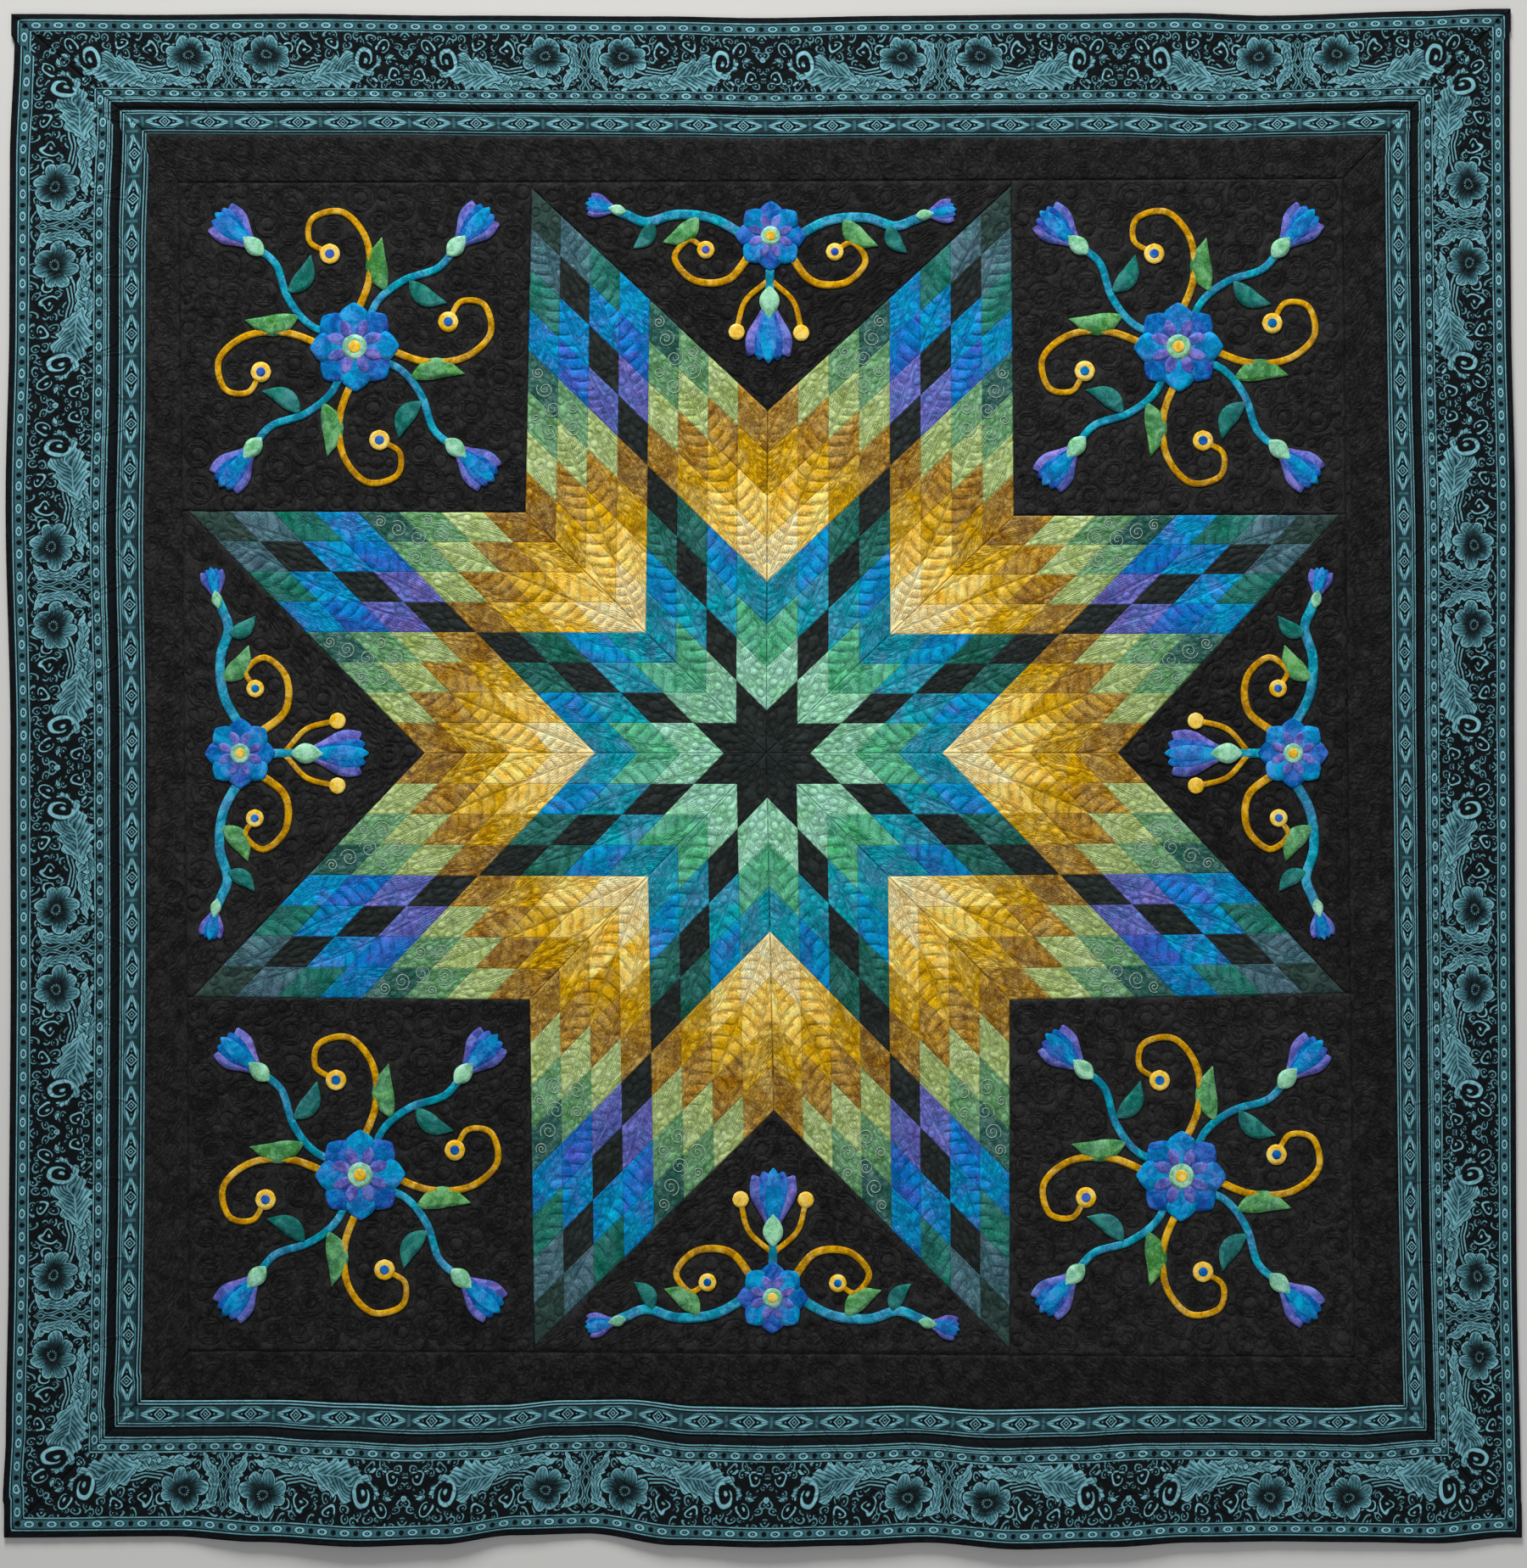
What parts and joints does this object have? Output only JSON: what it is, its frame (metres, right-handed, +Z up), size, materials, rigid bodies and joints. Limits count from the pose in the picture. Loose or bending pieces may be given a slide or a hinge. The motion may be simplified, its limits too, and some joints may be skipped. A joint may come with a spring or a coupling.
{
  "type": "patchwork star quilt",
  "caption": "Flat bed quilt with an eight-pointed patchwork star, applique flowers, printed borders with mitred corners and a folded binding.",
  "frame": {"origin": "middle of the quilt's outline, on the surface that it lies on", "axes": "+Z up out of the quilt's face, +Y towards the top of its design, +X towards its right-hand side"},
  "size_m": [2.2384, 2.28, 0.0171],
  "materials": {
    "backing": "plain woven cotton, matt",
    "star_patchwork": "mottled hand-dyed cotton in many colours, quilted, matt",
    "black_ground": "black woven cotton, quilted, matt",
    "border_print": "printed cotton, teal on black, matt",
    "binding": "black woven cotton, folded, matt",
    "applique": "mottled hand-dyed cotton in many colours, matt"
  },
  "bodies": {
    "root": {"quilt_back": "backing", "star_diamond_1": "star_patchwork", "star_diamond_2": "star_patchwork", "star_diamond_3": "star_patchwork", "star_diamond_4": "star_patchwork", "star_diamond_5": "star_patchwork", "star_diamond_6": "star_patchwork", "star_diamond_7": "star_patchwork", "star_diamond_8": "star_patchwork", "corner_square_1": "black_ground", "corner_square_2": "black_ground", "corner_square_3": "black_ground", "corner_square_4": "black_ground", "side_triangle_1": "black_ground", "side_triangle_2": "black_ground", "side_triangle_3": "black_ground", "side_triangle_4": "black_ground", "inner_border_bottom": "black_ground", "inner_border_right": "black_ground", "inner_border_top": "black_ground", "inner_border_left": "black_ground", "narrow_border_bottom": "border_print", "narrow_border_right": "border_print", "narrow_border_top": "border_print", "narrow_border_left": "border_print", "wide_border_bottom": "border_print", "wide_border_right": "border_print", "wide_border_top": "border_print", "wide_border_left": "border_print", "binding_bottom": "binding", "binding_right": "binding", "binding_top": "binding", "binding_left": "binding", "applique_corner_1": "applique", "applique_corner_2": "applique", "applique_corner_3": "applique", "applique_corner_4": "applique", "applique_side_1": "applique", "applique_side_2": "applique", "applique_side_3": "applique", "applique_side_4": "applique"}
  },
  "joints": []
}
